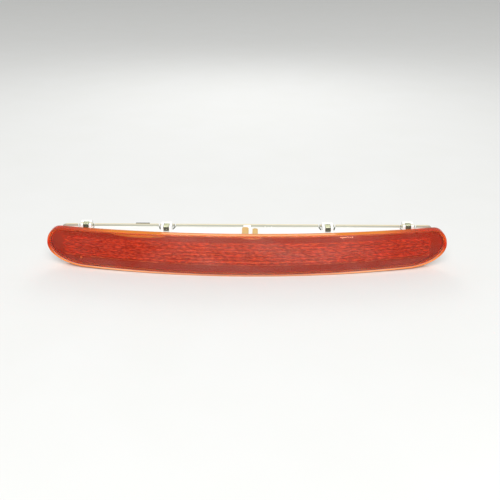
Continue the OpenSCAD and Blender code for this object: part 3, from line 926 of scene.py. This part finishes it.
def housing_plastic():
    """White plastic, with painted shade on the face of the rear lip, a painted pale yellow glow along
    its upper edge and painted shade inside the slots beside the clips.
    """
    shader = Shader("housing_white_plastic")
    mottle = shader.spread(shader.noise(16, 5), 0, 1)
    body = shader.mix(mottle, (0.92, 0.92, 0.90), (0.87, 0.875, 0.85))
    behind = shader.fade(shader.axis("Y"), 0, 1, *LIP_FRONT)
    high = shader.fade(shader.axis("Z"), 0, 1, *LIP_BOTTOM)
    before = shader.fade(shader.axis("Y"), 1, 0, *LIP_REAR)
    lip = shader.times(shader.times(behind, high), before)
    top = shader.fade(shader.axis("Z"), 0, 1, *LIP_TOP)
    # Painted shade on the lip's face and a painted pale yellow glow along its upper edge
    edged = shader.mix(lip, body, shader.mix(top, (0.27, 0.28, 0.19), (0.74, 0.66, 0.42)))
    # Painted shade inside the slots beside the clips
    shader.colour(shader.mix(slot_shade_mask(shader), edged, (0.20, 0.21, 0.15)))
    shader.roughness(shader.spread(shader.noise(2.2, 4), 0.32, 0.48))
    shader.bump(shader.noise(0.4, 3), 0.012, 0.5)
    return shader.material


def clip_metal():
    """Dark phosphated spring steel, rubbed bright where the ramp slides past the panel and painted
    lighter on every upward face, as if lit from above.
    """
    shader = Shader("clip_spring_steel")
    scuffs = shader.spread(shader.noise(0.9, 5), -0.15, 0.15)
    # Upward faces take the bright colour: real rubbing on the ramp and a painted highlight on the
    # rest
    upward = shader.math("ADD", shader.axis("Z", "Normal"), scuffs)
    sheen_and_wear = shader.spread(upward, 0, 1, 0.45, 0.75)
    stains = shader.spread(shader.noise(0.7, 4), 0, 1)
    dark = shader.mix(stains, (0.16, 0.17, 0.12), (0.09, 0.10, 0.07))
    rubbing = shader.spread(shader.noise(1.4, 4), 0, 1)
    bright = shader.mix(rubbing, (0.74, 0.75, 0.50), (0.62, 0.63, 0.42))
    shader.colour(shader.mix(sheen_and_wear, dark, bright))
    shader.metallic(shader.spread(sheen_and_wear, 0.55, 0.85, 0, 1))
    lines = shader.noise(0.8, 4, shader.stretched(12, 1, 1))
    shader.roughness(shader.math("ADD", shader.spread(lines, 0.30, 0.42), 0.02))
    shader.bump(lines, 0.005, 0.5)
    return shader.material


def metal(name, light, dark, rough_low, rough_high):
    """Worn bare metal with fine drawing lines."""
    shader = Shader(name)
    shader.set(Metallic=1.0)
    patina = shader.noise(1.8, 5)
    shader.colour(shader.mix(shader.spread(patina, 0, 1), light, dark))
    lines = shader.noise(1.2, 4, shader.stretched(1, 12, 12))
    shader.roughness(shader.spread(lines, rough_low, rough_high))
    shader.bump(lines, 0.006, 0.5)
    return shader.material


finishes = {
    "lens_red": lens_plastic(),
    "optic_red": optic_plastic(),
    "housing_white": housing_plastic(),
    "reflector_white": moulded_plastic(
        "reflector_polycarbonate", (0.93, 0.93, 0.92), (0.88, 0.88, 0.87), 0.25, 0.4
    ),
    "board_white": moulded_plastic(
        "board_solder_mask", (0.86, 0.87, 0.85), (0.80, 0.81, 0.79), 0.3, 0.45, 0.5, 0.02
    ),
    "led_package": moulded_plastic(
        "led_package_resin", (0.86, 0.80, 0.55), (0.78, 0.70, 0.42), 0.25, 0.4
    ),
    "resistor_black": moulded_plastic(
        "resistor_body", (0.035, 0.035, 0.04), (0.02, 0.02, 0.025), 0.35, 0.5
    ),
    "diode_black": moulded_plastic(
        "diode_body", (0.03, 0.03, 0.032), (0.018, 0.018, 0.02), 0.4, 0.55
    ),
    "capacitor_can": metal("capacitor_can_metal", (0.75, 0.76, 0.78), (0.6, 0.61, 0.63), 0.2, 0.35),
    "screw_steel": metal("screw_zinc", (0.62, 0.63, 0.66), (0.45, 0.46, 0.48), 0.25, 0.45),
    "connector_black": moulded_plastic(
        "connector_nylon", (0.035, 0.036, 0.04), (0.022, 0.023, 0.026), 0.38, 0.55
    ),
    "terminal_tin": metal("terminal_tinned", (0.82, 0.80, 0.74), (0.66, 0.63, 0.56), 0.18, 0.35),
    "seal_rubber": moulded_plastic(
        "seal_foam_rubber", (0.03, 0.03, 0.032), (0.018, 0.018, 0.02), 0.7, 0.85, 0.25, 0.03
    ),
    "vent_black": moulded_plastic(
        "vent_membrane", (0.06, 0.06, 0.065), (0.04, 0.04, 0.045), 0.6, 0.8, 0.2, 0.02
    ),
    "clip_steel": clip_metal(),
}

# ---------------------------------------------------------------- CAD nodes that stay

slots = {part["node"]: part["material_slot"] for part in frame["record"]["subparts"]}
ROUNDED = {"housing": 0.25, "connector_shell": 0.2, "reflector": 0.15, "circuit_board": 0.1}
SMALL_EDGE = 0.08
CAD_ROUNDING_ANGLE = 40
CLIP_COUNT = 4


def dress_cad_node(name, part):
    """Gives a CAD node its finish and takes the knife edges off it."""
    part.data.materials.clear()
    part.data.materials.append(finishes[slots[name]])
    welded = part.modifiers.new("weld", "WELD")
    welded.merge_threshold = SHORTEST_EDGE * MM
    round_edges(part, ROUNDED.get(name, SMALL_EDGE), CAD_ROUNDING_ANGLE)


for node_name, node_part in frame["nodes"].items():
    dress_cad_node(node_name, node_part)

build_lens(finishes["lens_red"])
for tongue in TONGUES:
    build_tongue(*tongue, finishes["lens_red"])
build_optic(finishes["optic_red"])
build_pip(finishes["optic_red"])
for clip_number in range(1, CLIP_COUNT + 1):
    build_clip(clip_number, finishes["clip_steel"])

# ---------------------------------------------------------------- floor, light and camera


FLOOR_HALF = 6000.0
WORLD_COLOUR = (1.0, 1.0, 0.99, 1)
WORLD_STRENGTH = 0.53

# Area lights: name, place, aim, width and height, all in metres, and power in watts
SOFTBOXES = (
    ("key_softbox", (0, -1.9, 1.9), (0, 0, 0), 1.98, 1.32, 65),
    ("background_softbox", (0, 0.75, 0.5), (0, 0.35, 0), 0.4, 0.3, 1.0),
    ("glint_light", (0.212, -0.352, -0.004), (0.085, -0.026, 0.017), 0.03, 0.014, 0.03),
)
CAMERA_PLACE = (2.6, -562.9, 254.9)
CAMERA_DOWN = 25
CAMERA_ROLL = 0.3
FOCAL_LENGTH = 50
SENSOR_WIDTH = 36
LIGHT_BOUNCES = 24
GLOSSY_BOUNCES = 10


def build_floor():
    """A sheet of white paper under the lamp, far wider than the view."""
    half = FLOOR_HALF
    z = lens_low.z
    mesh = bpy.data.meshes.new("floor")
    corners = [(-half, -half, z), (half, -half, z), (half, half, z), (-half, half, z)]
    mesh.from_pydata([Vector(p) * MM for p in corners], [], [(0, 1, 2, 3)])
    floor = bpy.data.objects.new("floor", mesh)
    bpy.context.scene.collection.objects.link(floor)
    shader = Shader("floor_paper")
    clouds = shader.spread(shader.noise(60, 3), 0, 1)
    shader.colour(shader.mix(clouds, (0.80, 0.805, 0.795), (0.79, 0.795, 0.78)))
    shader.set(Roughness=0.9, Specular_IOR_Level=0.1)
    floor.data.materials.append(shader.material)


def add_softbox(name, place, aim, width, height, power):
    light = bpy.data.lights.new(name, "AREA")
    light.shape = "RECTANGLE"
    light.size = width
    light.size_y = height
    light.energy = power
    lamp = bpy.data.objects.new(name, light)
    lamp.location = place
    lamp.rotation_euler = (Vector(aim) - Vector(place)).to_track_quat("-Z", "Y").to_euler()
    bpy.context.scene.collection.objects.link(lamp)


def build_light():
    """Even light from all round, a large softbox in front and above, and two small lights."""
    world = bpy.data.worlds.new("studio")
    bpy.context.scene.world = world
    world.use_nodes = True
    background = world.node_tree.nodes["Background"]
    background.inputs["Color"].default_value = WORLD_COLOUR
    background.inputs["Strength"].default_value = WORLD_STRENGTH
    for softbox in SOFTBOXES:
        add_softbox(*softbox)


def build_camera():
    data = bpy.data.cameras.new("camera")
    data.lens = FOCAL_LENGTH
    data.sensor_width = SENSOR_WIDTH
    camera = bpy.data.objects.new("camera", data)
    camera.location = Vector(CAMERA_PLACE) * MM
    pitch = Matrix.Rotation(math.radians(90 - CAMERA_DOWN), 3, "X")
    roll = Matrix.Rotation(math.radians(CAMERA_ROLL), 3, "Z")
    camera.rotation_euler = (pitch @ roll).to_euler()
    bpy.context.scene.collection.objects.link(camera)
    bpy.context.scene.camera = camera


build_floor()
build_light()
build_camera()
bpy.context.scene.view_settings.view_transform = "Standard"
bpy.context.scene.cycles.max_bounces = LIGHT_BOUNCES
bpy.context.scene.cycles.transmission_bounces = LIGHT_BOUNCES
bpy.context.scene.cycles.glossy_bounces = GLOSSY_BOUNCES
